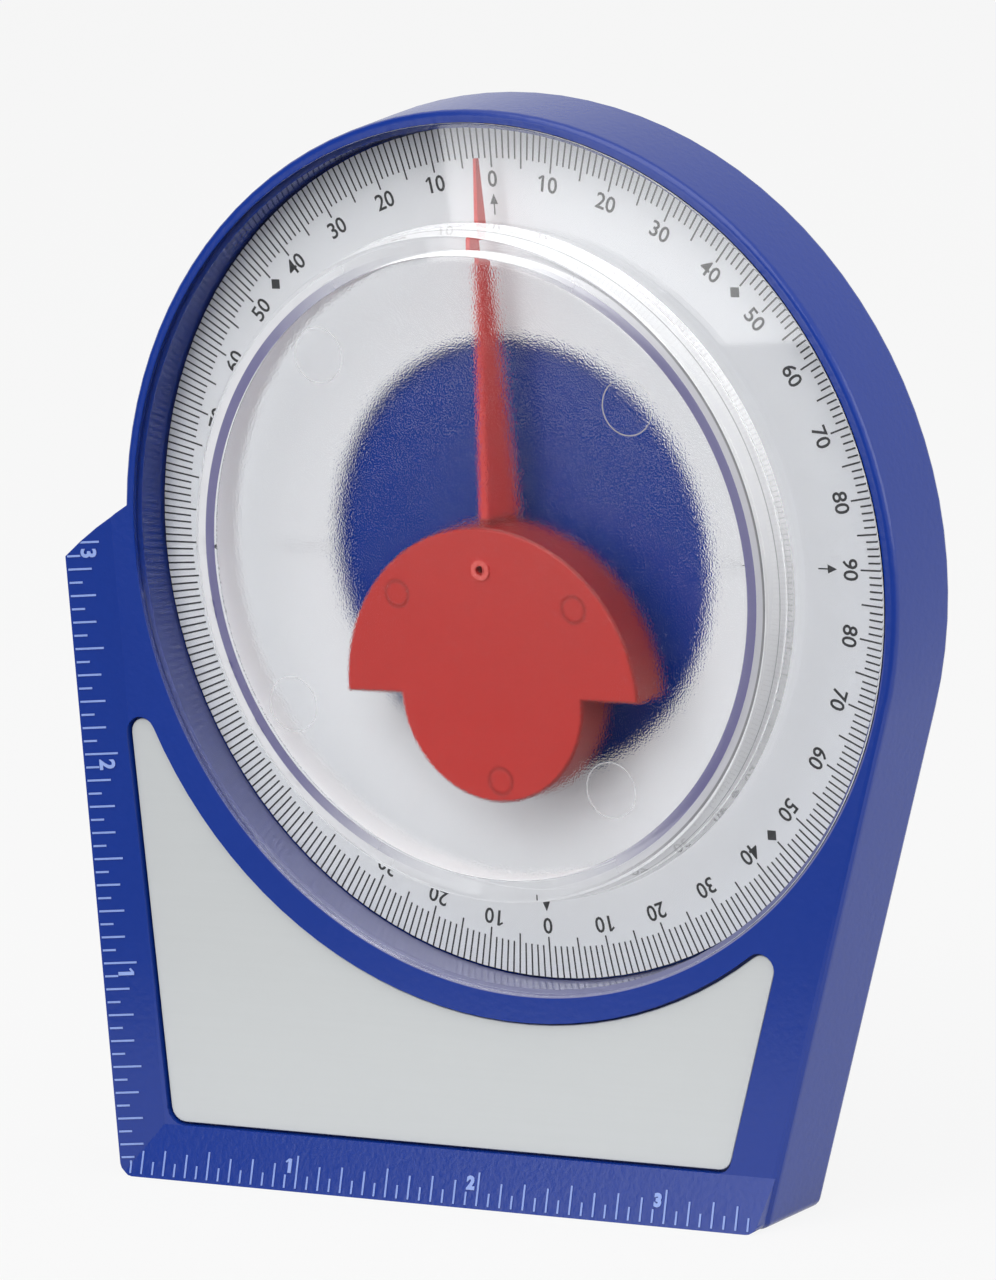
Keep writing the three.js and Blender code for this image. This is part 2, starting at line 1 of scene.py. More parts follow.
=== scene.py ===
# Looks of the magnetic angle level: finishes, moulded ruler marks, printed dial and studio.
# Everything is in metres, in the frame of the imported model.

import json
import math

import bmesh
import bpy
from bpy.props import FloatProperty, FloatVectorProperty, PointerProperty
from mathutils import Matrix, Vector


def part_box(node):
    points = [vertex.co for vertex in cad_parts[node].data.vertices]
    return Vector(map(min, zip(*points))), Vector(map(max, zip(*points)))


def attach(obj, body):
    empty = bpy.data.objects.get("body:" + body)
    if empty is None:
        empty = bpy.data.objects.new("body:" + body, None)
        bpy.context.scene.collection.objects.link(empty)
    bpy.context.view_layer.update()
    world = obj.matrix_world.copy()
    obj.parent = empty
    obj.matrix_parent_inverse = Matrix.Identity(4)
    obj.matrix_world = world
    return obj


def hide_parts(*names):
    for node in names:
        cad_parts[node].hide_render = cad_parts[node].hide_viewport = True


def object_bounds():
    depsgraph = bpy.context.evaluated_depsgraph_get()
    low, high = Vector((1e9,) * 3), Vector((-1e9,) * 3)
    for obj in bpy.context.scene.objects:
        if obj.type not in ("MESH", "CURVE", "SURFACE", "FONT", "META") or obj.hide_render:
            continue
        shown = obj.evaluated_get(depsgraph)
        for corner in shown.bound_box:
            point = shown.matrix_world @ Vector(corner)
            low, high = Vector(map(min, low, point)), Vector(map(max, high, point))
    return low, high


bl_info = {
    "name": "Magnetic angle level",
    "version": (1, 0, 0),
    "blender": (4, 5, 0),
    "location": "3D View > Sidebar > Angle level",
    "description": "Dresses the angle level's construction model and lights it",
    "category": "Object",
}

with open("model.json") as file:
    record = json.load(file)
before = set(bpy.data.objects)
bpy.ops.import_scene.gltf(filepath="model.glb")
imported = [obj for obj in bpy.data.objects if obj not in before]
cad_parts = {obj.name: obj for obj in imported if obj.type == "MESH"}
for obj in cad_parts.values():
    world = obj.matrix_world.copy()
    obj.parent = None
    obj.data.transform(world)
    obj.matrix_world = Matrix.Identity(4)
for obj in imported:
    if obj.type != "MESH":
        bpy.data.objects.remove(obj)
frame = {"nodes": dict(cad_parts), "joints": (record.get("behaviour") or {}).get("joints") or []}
cad_low, cad_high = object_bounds()
pivot = Vector(frame["joints"][0]["pos_m"])
housing_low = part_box("housing")[0]
dial_low, dial_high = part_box("dial")
lens_low, lens_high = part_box("lens")
pendulum_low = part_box("pendulum")[0]
inch = 0.0254

# Where things lie on the object, in metres; pairs are across and up from the pivot
well_mouth = 0.0504
window_gates = ((-0.0189, 0.0245), (0.0219, 0.0193), (-0.0264, -0.0163), (0.0160, -0.0244))
weight_gates = ((-0.0116, -0.0031), (0.0120, -0.0042), (0.0005, -0.0244))
parting_depth = 0.002
pointer_root = 0.0054
hub_radius = 0.0009

# How construction meshes are cleaned and rounded
touching = 2e-6
same_plane = math.radians(0.4)
large_face = 15e-6
lip_edge = math.radians(20)
sharp_edge = math.radians(32)
face_crease = math.radians(12)
outline_share = 1 / 400


# Sizes and colours that a user would change

class CaseSettings(bpy.types.PropertyGroup):
    colour: FloatVectorProperty(
        name="Plastic colour", description="Colour of the moulded case", subtype="COLOR",
        size=3, min=0, max=1, default=(0.004, 0.031, 0.255))
    grain: FloatProperty(
        name="Grain", description="Size of the mould's fine texture", unit="LENGTH",
        default=0.00035)
    edge: FloatProperty(
        name="Edge rounding", description="Rounding of the case's edges", unit="LENGTH",
        default=0.00022)


class RulerSettings(bpy.types.PropertyGroup):
    colour: FloatVectorProperty(
        name="Mark colour", description="Colour of the raised ruler marks", subtype="COLOR",
        size=3, min=0, max=1, default=(0.26, 0.36, 0.72))
    mark_rise: FloatProperty(
        name="Mark rise", description="How far the numbers stand up", unit="LENGTH",
        default=0.00012)
    numeral: FloatProperty(
        name="Numeral height", description="Height of the ruler's numbers", unit="LENGTH",
        default=0.0019)
    lip_depth: FloatProperty(
        name="Lip depth", description="How far a ruler lip slopes back", unit="LENGTH",
        default=0.00225)
    left_lip: FloatProperty(
        name="Left lip", description="Width of the left ruler lip", unit="LENGTH",
        default=0.0054)
    base_lip: FloatProperty(
        name="Base lip", description="Height of the base ruler lip", unit="LENGTH",
        default=0.0062)


class DialSettings(bpy.types.PropertyGroup):
    card_colour: FloatVectorProperty(
        name="Card colour", description="Colour of the dial card", subtype="COLOR",
        size=3, min=0, max=1, default=(0.79, 0.80, 0.82))
    ink_colour: FloatVectorProperty(
        name="Ink colour", description="Colour of the divisions and numbers", subtype="COLOR",
        size=3, min=0, max=1, default=(0.035, 0.035, 0.038))
    division_width: FloatProperty(
        name="Division width", description="Width of a degree division", unit="LENGTH",
        default=0.00020)
    short_division: FloatProperty(
        name="Short division", description="Inner radius of a degree division",
        unit="LENGTH", default=0.04565)
    long_division: FloatProperty(
        name="Long division", description="Inner radius of every fifth division",
        unit="LENGTH", default=0.0446)
    turn: FloatProperty(
        name="Turn", description="The card's turn in its seat, in degrees", default=-0.27)
    numeral: FloatProperty(
        name="Numeral height", description="Height of the dial's numbers", unit="LENGTH",
        default=0.0019)
    numeral_radius: FloatProperty(
        name="Numeral radius", description="Radius of the numbers' centres", unit="LENGTH",
        default=0.0433)


class WindowSettings(bpy.types.PropertyGroup):
    frosted_radius: FloatProperty(
        name="Frosted radius", description="Radius of the frosted middle", unit="LENGTH",
        default=0.0355)
    radius: FloatProperty(
        name="Window radius", description="Radius of the raised window's foot",
        unit="LENGTH", default=0.0391)
    wall: FloatProperty(
        name="Wall", description="Thickness of the raised window's wall", unit="LENGTH",
        default=0.0032)
    # Painted reflection of the case in the window's edge.
    violet: FloatVectorProperty(
        name="Ring colour", description="Colour that the window's edge picks up from the case",
        subtype="COLOR", size=3, min=0, max=1, default=(0.065, 0.055, 0.20))
    thickness: FloatProperty(
        name="Thickness", description="Thickness of the raised window", unit="LENGTH",
        default=0.0012)
    flange: FloatProperty(
        name="Flange", description="Thickness of the flat flange", unit="LENGTH",
        default=0.00105)
    rim_gap: FloatProperty(
        name="Rim gap", description="Gap between the lens and the case", unit="LENGTH",
        default=0.00004)
    frosting: FloatProperty(
        name="Frosting", description="Roughness of the frosted middle", subtype="FACTOR",
        min=0, max=1, default=0.10)
    sand: FloatProperty(
        name="Sand", description="Size of the frosting's grains", unit="LENGTH",
        default=0.00011)
    gate_radius: FloatProperty(
        name="Ejector mark radius", description="Radius of the round ejector marks",
        unit="LENGTH", default=0.0032)


class PendulumSettings(bpy.types.PropertyGroup):
    colour: FloatVectorProperty(
        name="Pendulum colour", description="Colour of the weight and pointer",
        subtype="COLOR", size=3, min=0, max=1, default=(0.60, 0.027, 0.021))
    ejector_radius: FloatProperty(
        name="Ejector mark radius", description="Radius of the marks on the weight",
        unit="LENGTH", default=0.0015)


class LabelSettings(bpy.types.PropertyGroup):
    colour: FloatVectorProperty(
        name="Plate colour", description="Colour of the bare plate", subtype="COLOR",
        size=3, min=0, max=1, default=(0.575, 0.595, 0.60))


class StudioSettings(bpy.types.PropertyGroup):
    background: FloatProperty(
        name="Background", description="Brightness of floor and backdrop", default=0.93)
    ambient: FloatProperty(
        name="Ambient", description="Strength of the light from all round", default=0.45)
    azimuth: FloatProperty(
        name="Azimuth", description="Camera's turn to the object's right", subtype="ANGLE",
        default=math.radians(33.479))
    elevation: FloatProperty(
        name="Elevation", description="Camera's height above the horizon", subtype="ANGLE",
        default=math.radians(10.808))
    roll: FloatProperty(
        name="Roll", description="Camera's tilt about its own axis", subtype="ANGLE",
        default=math.radians(-4.533))
    distance: FloatProperty(
        name="Distance", description="From camera to the point it looks at",
        unit="LENGTH", default=0.810472)
    target: FloatVectorProperty(
        name="Target", description="Point that the camera looks at", unit="LENGTH",
        size=3, default=(0.00408, -0.00545, 0.06753))
    lens: FloatProperty(
        name="Lens", description="Focal length in millimetres on a 36 mm sensor",
        default=201.59)


# Small helpers for modelling

def only(*objects):
    """Selects these objects alone and makes the first one active."""
    bpy.ops.object.select_all(action="DESELECT")
    for one in objects:
        one.select_set(True)
    bpy.context.view_layer.objects.active = objects[0]


def place(piece):
    """Puts a piece's place, turn and size into its mesh."""
    only(piece)
    bpy.ops.object.transform_apply(location=True, rotation=True, scale=True)
    return piece


def apply_modifiers(piece):
    only(piece)
    for modifier in list(piece.modifiers):
        bpy.ops.object.modifier_apply(modifier=modifier.name)


def soften(piece, width, segments=2, skip=None, crease=None):
    """Rounds a piece's sharp edges and the creases between its large faces.

    Edges whose two ends skip() or crease() picks out aren't rounded, and creases are sharp.
    """
    mesh = bmesh.new()
    mesh.from_mesh(piece.data)
    weights = mesh.edges.layers.float.new("bevel_weight_edge")
    for edge in mesh.edges:
        if len(edge.link_faces) != 2:
            continue
        turn = edge.calc_face_angle(0)
        large = min(face.calc_area() for face in edge.link_faces) > large_face
        if crease and all(crease(vertex.co) for vertex in edge.verts):
            edge.smooth = False
        elif skip and all(skip(vertex.co) for vertex in edge.verts):
            edge.smooth = turn < lip_edge
        elif turn > sharp_edge or (large and turn > face_crease):
            edge[weights] = 1
    mesh.to_mesh(piece.data)
    mesh.free()
    bevel = piece.modifiers.new("rounding", "BEVEL")
    bevel.width = width
    bevel.segments = segments
    bevel.limit_method = "WEIGHT"
    apply_modifiers(piece)


def smooth(piece, angle=50):
    """Smooth shading in which the large faces stay flat."""
    only(piece)
    bpy.ops.object.shade_smooth_by_angle(angle=math.radians(angle))
    weighted = piece.modifiers.new("flat faces", "WEIGHTED_NORMAL")
    weighted.keep_sharp = True
    apply_modifiers(piece)


def join(pieces, name):
    """Makes one named piece of several."""
    only(*pieces)
    if len(pieces) > 1:
        bpy.ops.object.join()
    piece = bpy.context.view_layer.objects.active
    piece.name = name
    return piece


def finished(piece, body, material):
    """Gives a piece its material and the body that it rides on."""
    piece.data.materials.clear()
    piece.data.materials.append(material)
    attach(piece, body)
    return piece


def model_from(node, name):
    """A working copy of a construction node, with its loose triangles joined into faces."""
    only(frame["nodes"][node])
    bpy.ops.object.duplicate()
    piece = bpy.context.view_layer.objects.active
    piece.name = name
    bpy.ops.object.mode_set(mode="EDIT")
    bpy.ops.mesh.select_all(action="SELECT")
    bpy.ops.mesh.remove_doubles(threshold=touching)
    bpy.ops.mesh.dissolve_limited(angle_limit=same_plane)
    bpy.ops.object.mode_set(mode="OBJECT")
    return piece


def spun(section, name, round_steps=6, steps=224):
    """A section, given as radius, depth and rounding of each corner, spun about the pivot.

    It starts and ends on the axis, and its depths are behind the lens's front.
    """
    points = []
    for index, (radius, depth, rounding) in enumerate(section):
        here = Vector((radius, depth))
        if not rounding:
            points.append(here)
            continue
        start = here + (Vector(section[index - 1][:2]) - here).normalized() * rounding
        end = here + (Vector(section[index + 1][:2]) - here).normalized() * rounding
        for step in range(round_steps + 1):
            share = step / round_steps
            points.append(start.lerp(here, share).lerp(here.lerp(end, share), share))
    bpy.ops.mesh.primitive_circle_add(vertices=len(points))
    piece = bpy.context.view_layer.objects.active
    piece.name = name
    for vertex, (radius, depth) in zip(piece.data.vertices, points):
        vertex.co = (pivot.x + radius, lens_low.y + depth, pivot.z)
    bpy.ops.object.mode_set(mode="EDIT")
    outline = bmesh.from_edit_mesh(piece.data)
    on_axis = [edge for edge in outline.edges
               if all(abs(vertex.co.x - pivot.x) < touching for vertex in edge.verts)]
    bmesh.ops.delete(outline, geom=on_axis, context="EDGES_FACES")
    bmesh.update_edit_mesh(piece.data)
    bpy.ops.mesh.select_all(action="SELECT")
    bpy.ops.mesh.spin(steps=steps, angle=2 * math.pi, center=pivot, axis=(0, 1, 0))
    bpy.ops.mesh.select_all(action="SELECT")
    bpy.ops.mesh.remove_doubles(threshold=touching / 2)
    bpy.ops.mesh.normals_make_consistent(inside=False)
    bpy.ops.object.mode_set(mode="OBJECT")
    return piece


def bar(width, height, depth, at=(0, 0, 0)):
    """A straight bar seen from the front: width along X, height along Z."""
    bpy.ops.mesh.primitive_cube_add(size=1, location=at)
    piece = bpy.context.view_layer.objects.active
    piece.scale = (width, depth, height)
    return place(piece)


def numeral(text, height, depth, weight, at, turn=0.0):
    """A number facing the front, turned clockwise about its own middle.

    weight thickens its strokes, as a share of the font's size.
    """
    bpy.ops.object.text_add()
    piece = bpy.context.view_layer.objects.active
    piece.data.body = text
    piece.data.size = 1
    piece.data.offset = weight
    piece.data.extrude = depth / height / 2
    piece.data.resolution_u = 3
    bpy.ops.object.convert(target="MESH")
    piece = bpy.context.view_layer.objects.active
    cap = piece.dimensions.y
    lowest, highest = piece.bound_box[0], piece.bound_box[6]
    middle = (Vector(lowest) + Vector(highest)) / 2
    piece.data.transform(Matrix.Translation(-middle))
    piece.scale = (height / cap,) * 3
    place(piece)
    if text.startswith("1"):
        piece = join([piece, flag(piece, height, depth)], text)
    bpy.ops.object.mode_set(mode="EDIT")
    bpy.ops.mesh.select_all(action="SELECT")
    bpy.ops.mesh.remove_doubles(threshold=height * outline_share)
    bpy.ops.mesh.normals_make_consistent(inside=False)
    bpy.ops.object.mode_set(mode="OBJECT")
    piece.rotation_euler = (math.pi / 2, turn, 0)
    piece.location = at
    return place(piece)


def flag(digit, height, depth):
    """The short slanting stroke at the top of a 1."""
    left = digit.bound_box[0][0]
    reach_share, rise_share, length_share, width_share = 0.07, 0.35, 0.34, 0.12
    slant = math.radians(38)
    bpy.ops.mesh.primitive_cube_add(
        size=1, location=(left - height * reach_share, height * rise_share, 0))
    stroke = bpy.context.view_layer.objects.active
    stroke.scale = (height * length_share, height * width_share, depth)
    stroke.rotation_euler.z = slant
    return place(stroke)


# Shader maths

class Amount:
    """A number that varies over a surface: arithmetic on it adds Math nodes."""

    def __init__(self, finish, socket):
        self.finish = finish
        self.socket = socket

    def _with(self, operation, *values):
        math_node = self.finish.node(
            "ShaderNodeMath", {"operation": operation}, dict(enumerate(values)))
        return Amount(self.finish, math_node.outputs[0])

    def __add__(self, other):
        return self._with("ADD", self, other)

    def __radd__(self, other):
        return self._with("ADD", other, self)

    def __sub__(self, other):
        return self._with("SUBTRACT", self, other)

    def __rsub__(self, other):
        return self._with("SUBTRACT", other, self)

    def __mul__(self, other):
        return self._with("MULTIPLY", self, other)

    def __rmul__(self, other):
        return self._with("MULTIPLY", other, self)

    def __truediv__(self, other):
        return self._with("DIVIDE", self, other)

    def __abs__(self):
        return self._with("ABSOLUTE", self)

    def root(self):
        return self._with("SQRT", self)

    def or_more(self, other):
        return self._with("MAXIMUM", self, other)

    def or_less(self, other):
        return self._with("MINIMUM", self, other)

    def between(self, low, high):
        """1 from low to high, with a smooth step inside each end."""
        fade = 0.0001
        return self.rising(low, low + fade) - self.rising(high - fade, high)

    def rising(self, low, high):
        """0 below low, 1 above high, and a smooth step between them."""
        step = self.finish.node(
            "ShaderNodeMapRange", {"interpolation_type": "SMOOTHSTEP", "clamp": True},
            {"Value": self, "From Min": low, "From Max": high, "To Min": 0, "To Max": 1})
        return Amount(self.finish, step.outputs["Result"])


class Finish:
    """A material under construction."""

    def __init__(self, name):
        self.material = bpy.data.materials.new(name)
        self.material.use_nodes = True
        self.tree = self.material.node_tree
        self.tree.nodes.clear()
        self.output = self.node("ShaderNodeOutputMaterial")
        self.coordinates = self.node("ShaderNodeTexCoord").outputs["Object"]

    def node(self, kind, settings=None, sockets=None):
        """A node with its settings, and its sockets linked or set to a constant."""
        made = self.tree.nodes.new(kind)
        for key, value in (settings or {}).items():
            setattr(made, key, value)
        for key, value in (sockets or {}).items():
            socket = made.inputs[key]
            if isinstance(value, Amount):
                self.tree.links.new(value.socket, socket)
            elif isinstance(value, bpy.types.NodeSocket):
                self.tree.links.new(value, socket)
            else:
                socket.default_value = value
        return made

    def along(self, axis, origin=0.0):
        """Distance from origin along one of the object's axes."""
        split = self.node("ShaderNodeSeparateXYZ", {}, {0: self.coordinates})
        return Amount(self, split.outputs[axis]) - origin

    def from_axis(self, x, z):
        """Distance from a front-to-back axis."""
        across = self.along("X", x)
        up = self.along("Z", z)
        return (across * across + up * up).root()

    def noise(self, size, detail=2.0, stretch=(1, 1, 1)):
        """Noise from 0 to 1 whose grains are about as large as size."""
        mapped = self.node(
            "ShaderNodeMapping", {}, {"Vector": self.coordinates, "Scale": stretch})
        noise = self.node(
            "ShaderNodeTexNoise", {},
            {"Vector": mapped.outputs[0], "Scale": 0.5 / size, "Detail": detail})
        return Amount(self, noise.outputs[0])

    def blend(self, amount, first, second):
        """The first colour where amount is 0, the second where it is 1."""
        mix = self.node("ShaderNodeMix", {"data_type": "RGBA"}, {0: amount})
        for socket, value in ((mix.inputs[6], first), (mix.inputs[7], second)):
            if isinstance(value, bpy.types.NodeSocket):
                self.tree.links.new(value, socket)
            else:
                socket.default_value = (*value[:3], 1)
        return mix.outputs[2]

    def bump(self, height, distance):
        """A normal for a surface that stands up by distance where height is 1."""
        made = self.node(
            "ShaderNodeBump", {}, {"Height": height, "Distance": distance, "Strength": 1.0})
        return made.outputs[0]

    def rings(self, places, radius, narrow, wide):
        """1 on circles round front-to-back axes, fading out between two distances from them."""
        rings = None
        for x, z in places:
            away = self.from_axis(pivot.x + x, pivot.z + z)
            ring = 1 - abs(away - radius).rising(narrow, wide)
            rings = ring if rings is None else rings.or_more(ring)
        return rings

    def plastic(self, sockets):
        return self.node("ShaderNodeBsdfPrincipled", {}, sockets).outputs[0]

    def mixed(self, amount, first, second):
        """The first shader where amount is 0, the second where it is 1."""
        mix = self.node("ShaderNodeMixShader", {}, {0: amount, 1: first, 2: second})
        return mix.outputs[0]

    def surface(self, sockets):
        self.show(self.plastic(sockets))

    def show(self, shader):
        self.tree.links.new(shader, self.output.inputs["Surface"])


def shade(colour, factor):
    """A darker or lighter colour."""
    return tuple(min(1, channel * factor) for channel in colour)


def moulded_blue(settings, ruler):
    """Moulded plastic: raised ruler marks are paler, and the lower wall of the well has painted
    light and reflection.
    """
    finish = Finish("moulded_blue")
    grain = finish.noise(settings.grain)
    clouds = finish.noise(0.02, 3)
    colour = finish.blend(clouds * 0.5 + grain * 0.2, shade(settings.colour, 0.88),
                          shade(settings.colour, 1.12))
    from_centre = finish.from_axis(pivot.x, pivot.z)
    outside = from_centre.rising(well_mouth + 0.0001, well_mouth + 0.0002)
    below = (finish.along("Z", pivot.z) / from_centre * -1).or_more(0)
    well = from_centre.rising(well_mouth - 0.001, well_mouth - 0.0008) - outside
    well = well * (1 - finish.along("Y", dial_low.y).rising(0, 0.0002))
    # Painted light and reflection: the well's lower wall, which faces up, is drawn paler.
    painted_wall_light = (0.30, 0.30, 0.42)
    colour = finish.blend(well * below * 0.8, colour, painted_wall_light)

    left = finish.along("X", housing_low.x) * (ruler.lip_depth / ruler.left_lip)
    base = finish.along("Z", housing_low.z) * (ruler.lip_depth / ruler.base_lip)
    lip = left.or_less(base).or_less(ruler.lip_depth)
    above_lip = lip - finish.along("Y", housing_low.y)
    raised = above_lip.rising(0.00003, 0.00006)
    # The raised marks are drawn paler, in patches.
    pale_marks = raised * (0.75 + 0.25 * finish.noise(0.0012, 2))
    finish.surface({
        "Base Color": finish.blend(pale_marks, colour, ruler.colour),
        "Roughness": 0.10 + 0.12 * outside + 0.06 * grain,
        "Normal": finish.bump(grain, 0.00003),
    })
    return finish.material


def raised_mark(settings):
    """The pale, patchy top of a raised number."""
    finish = Finish("raised_mark")
    # Paler and darker patches on the number's top.
    patches = finish.noise(0.0015, 2)
    colour = finish.blend(patches, shade(settings.colour, 0.85), shade(settings.colour, 1.1))
    finish.surface({"Base Color": colour, "Roughness": 0.4 + 0.1 * patches})
    return finish.material


def dial_card(settings):
    """Matt white card."""
    finish = Finish("dial_card")
    fibre = finish.noise(0.0004, 3)
    colour = finish.blend(fibre, shade(settings.card_colour, 0.98),
                          shade(settings.card_colour, 1.02))
    finish.surface({
        "Base Color": colour,
        "Roughness": 0.5 + 0.08 * fibre,
        "Normal": finish.bump(fibre, 0.000005),
    })
    return finish.material


def dial_ink(settings):
    """Dark printing ink, spread unevenly in the card."""
    finish = Finish("dial_ink")
    spread = finish.noise(0.0005, 2)
    colour = finish.blend(spread, shade(settings.ink_colour, 0.8),
                          shade(settings.ink_colour, 1.3))
    finish.surface({"Base Color": colour, "Roughness": 0.45 + 0.1 * spread})
    return finish.material


def clear_moulding(settings):
    """Clear plastic that lets the studio's light straight in, frosted in the middle.

    Lines round the window are painted reflections of the case and the dial in its edge.
    """
    finish = Finish("clear_moulding")
    from_centre = finish.from_axis(pivot.x, pivot.z)
    across = finish.along("X", pivot.x) / from_centre
    depth = finish.along("Y", lens_low.y)
    outer_face = 1 - depth.rising(0.0002, 0.0004)

    def band(low, high):
        """1 between two distances outside the frosting, fading towards top and bottom, for
        painted reflections.
        """
        start = settings.frosted_radius
        ring = from_centre.between(start + low, start + high)
        return ring * abs(across).rising(0, 0.8) * outer_face

    # Painted reflection of the case: a violet band in the window's edge, strongest at left and
    # right.
    violet = band(0.0001, 0.0014)
    # Painted reflection: a grey band in the window's edge.
    grey = band(0.0013, 0.0024)
    # Painted reflection: a dark line in the window's edge, on the right side only.
    dark = band(0.0021, 0.0025) * across.rising(0, 0.3)
    parting = 1 - abs(depth - parting_depth).rising(0.00005, 0.00012)
    parting = parting * from_centre.rising(settings.radius - 0.001, settings.radius - 0.0009)
    inside = settings.radius - settings.wall
    # Painted reflection of the card: the raised window's inner wall is drawn white.
    wall = from_centre.between(inside - 0.0003, inside + 0.0003)
    wall = wall * depth.rising(settings.thickness, settings.thickness + 0.0002)
    gates = finish.rings(window_gates, settings.gate_radius, 0.00004, 0.00012)

    pale, white, seam_and_reflection_black = (0.6, 0.6, 0.62), (0.97, 0.97, 0.98), (0.10, 0.10, 0.11)
    # Painted reflection: the grey band is lighter on the left than on the right.
    lighter_left_reflection, darker_right_reflection = (0.62, 0.62, 0.65), (0.36, 0.36, 0.40)
    edge_reflections_and_marks = finish.blend(across.rising(-0.3, 0.3), lighter_left_reflection, darker_right_reflection)
    edge_reflections_and_marks = finish.blend(grey, pale, edge_reflections_and_marks)
    # Near black for the painted dark line and for the mould seam.
    edge_reflections_and_marks = finish.blend(dark.or_more(parting), edge_reflections_and_marks, seam_and_reflection_black)
    edge_reflections_and_marks = finish.blend(wall, edge_reflections_and_marks, white)
    edge_reflections_and_marks = finish.blend(violet, edge_reflections_and_marks, settings.violet)
    edges = (violet * 0.85).or_more(grey * 0.72).or_more(dark * 0.85).or_more(parting * 0.5)
    marks = edges.or_more(wall * 0.9).or_more(gates * outer_face * 0.45)

    clear = {"Base Color": (0.985, 0.99, 0.992, 1), "IOR": 1.5, "Transmission Weight": 1.0}
    polished = finish.plastic({**clear, "Roughness": 0.02})
    blasted = finish.plastic({
        **clear,
        "Roughness": settings.frosting,
        "Specular Tint": (0.1, 0.1, 0.1, 1),
        "Normal": finish.bump(finish.noise(settings.sand, 1), 0.00006),
    })
    middle = 1 - from_centre.rising(settings.frosted_radius - 0.0003, settings.frosted_radius)
    window = finish.mixed(middle * outer_face, polished, blasted)
    window = finish.mixed(marks, window, finish.plastic({"Base Color": edge_reflections_and_marks, "Roughness": 0.6}))
    straight = finish.node("ShaderNodeBsdfTransparent", {}, {0: (0.94, 0.945, 0.95, 1)})
    path = finish.node("ShaderNodeLightPath")
    finish.show(finish.mixed(path.outputs["Is Shadow Ray"], window, straight.outputs[0]))
    return finish.material


def moulded_red(settings):
    """Moulded plastic, with painted shade on the weight's sides and in its ejector marks."""
    finish = Finish("moulded_red")
    grain = finish.noise(0.0003)
    clouds = finish.noise(0.008, 2)
    front = 1 - finish.along("Y", pendulum_low.y).rising(0.0001, 0.0004)
    pointer = finish.along("Z", pivot.z).rising(pointer_root, pointer_root + 0.0004)
    marks = finish.rings(weight_gates, settings.ejector_radius, 0.0001, 0.00035) * front
    hub = finish.rings([(0, 0)], hub_radius, 0.0001, 0.0004) * front
    colour = finish.blend(clouds * 0.6 + grain * 0.2, shade(settings.colour, 0.92),
                          shade(settings.colour, 1.08))
    # Painted shade: the weight's sides are darker, all but the pointer.
    colour = finish.blend(front.or_more(pointer), shade(settings.colour, 0.45), colour)
    # Painted shade in the rings of the ejector marks.
    colour = finish.blend(marks * 0.75, colour, shade(settings.colour, 0.35))
    colour = finish.blend(hub * 0.4, colour, (0.85, 0.25, 0.22))
    finish.surface({
        "Base Color": colour,
        "Roughness": 0.42 + 0.08 * grain,
        "Normal": finish.bump(grain * 0.4 - marks, 0.00004),
    })
    return finish.material


def silver_foil(settings):
    """Silver-grey foil, brushed from side to side."""
    finish = Finish("silver_foil")
    brushed = finish.noise(0.0002, 3, stretch=(0.02, 1, 1))
    clouds = finish.noise(0.03, 2)
    colour = finish.blend(brushed * 0.5 + clouds * 0.5, shade(settings.colour, 0.97),
                          shade(settings.colour, 1.03))
    finish.surface({
        "Base Color": colour,
        "Metallic": 0.25,
        "Roughness": 0.36 + 0.08 * brushed,
        "Normal": finish.bump(brushed, 0.000004),
    })
    return finish.material


def bare_metal(name, colour, roughness, stretch=(1, 1, 1)):
    """Metal with fine lines; stretch draws them out along an axis."""
    finish = Finish(name)
    lines = finish.noise(0.0002, 3, stretch)
    shaded = finish.blend(lines, shade(colour, 0.9), shade(colour, 1.1))
    finish.surface({
        "Base Color": shaded,
        "Metallic": 1.0,
        "Roughness": roughness + 0.12 * lines,
        "Normal": finish.bump(lines, 0.000004),
    })
    return finish.material


def pressed_ferrite():
    """Dark magnet ceramic."""
    finish = Finish("pressed_ferrite")
    grit = finish.noise(0.00025, 3)
    colour = finish.blend(grit, (0.03, 0.03, 0.033), (0.07, 0.07, 0.075))
    finish.surface({
        "Base Color": colour,
        "Metallic": 0.2,
        "Roughness": 0.5 + 0.2 * grit,
        "Normal": finish.bump(grit, 0.00002),
    })
    return finish.material


def milky_nylon():
    """Pale washer plastic."""
    finish = Finish("milky_nylon")
    clouds = finish.noise(0.001, 2)
    colour = finish.blend(clouds, (0.74, 0.73, 0.68), (0.80, 0.79, 0.75))
    finish.surface({"Base Color": colour, "Roughness": 0.4 + 0.1 * clouds})
    return finish.material


# Operators, one for each group of pieces

class ANGLE_LEVEL_OT_case(bpy.types.Operator):
    """Rounds and finishes the moulded case and its back cover"""

    bl_idname = "angle_level.case"
    bl_label = "Case"

    # Distances from the case's left or lower edge to the ends of the raised marks
    marks_start, marks_end = 0.0001, 0.0045

    # How near a point may be to the face, and to a crease as a share of the lip
    flush, near = 0.00002, 0.02

    def execute(self, context):
        settings = context.scene.angle_case
        ruler = context.scene.angle_ruler
        plastic = moulded_blue(settings, ruler)

        def on_lips(point):
            """Picks out the points among the raised marks."""
            inwards = min(point.x - housing_low.x, point.z - housing_low.z)
            in_front = point.y - housing_low.y < ruler.lip_depth - self.flush
            return in_front and self.marks_start < inwards < self.marks_end

        def on_crease(point):
            """Picks out the points where a lip meets the face or the other lip."""
            left = (point.x - housing_low.x) / ruler.left_lip
            base = (point.z - housing_low.z) / ruler.base_lip
            depth = (point.y - housing_low.y) / ruler.lip_depth
            low, middle = sorted((left, base, 1))[:2]
            return middle - low < self.near and abs(depth - low) < self.near

        for node, skip, crease in (("housing", on_lips, on_crease), ("back_cover", None, None)):
            piece = model_from(node, node + "_moulding")
            soften(piece, settings.edge, skip=skip, crease=crease)
            smooth(piece)
            finished(piece, "case", plastic)
            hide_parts(node)
        return {"FINISHED"}


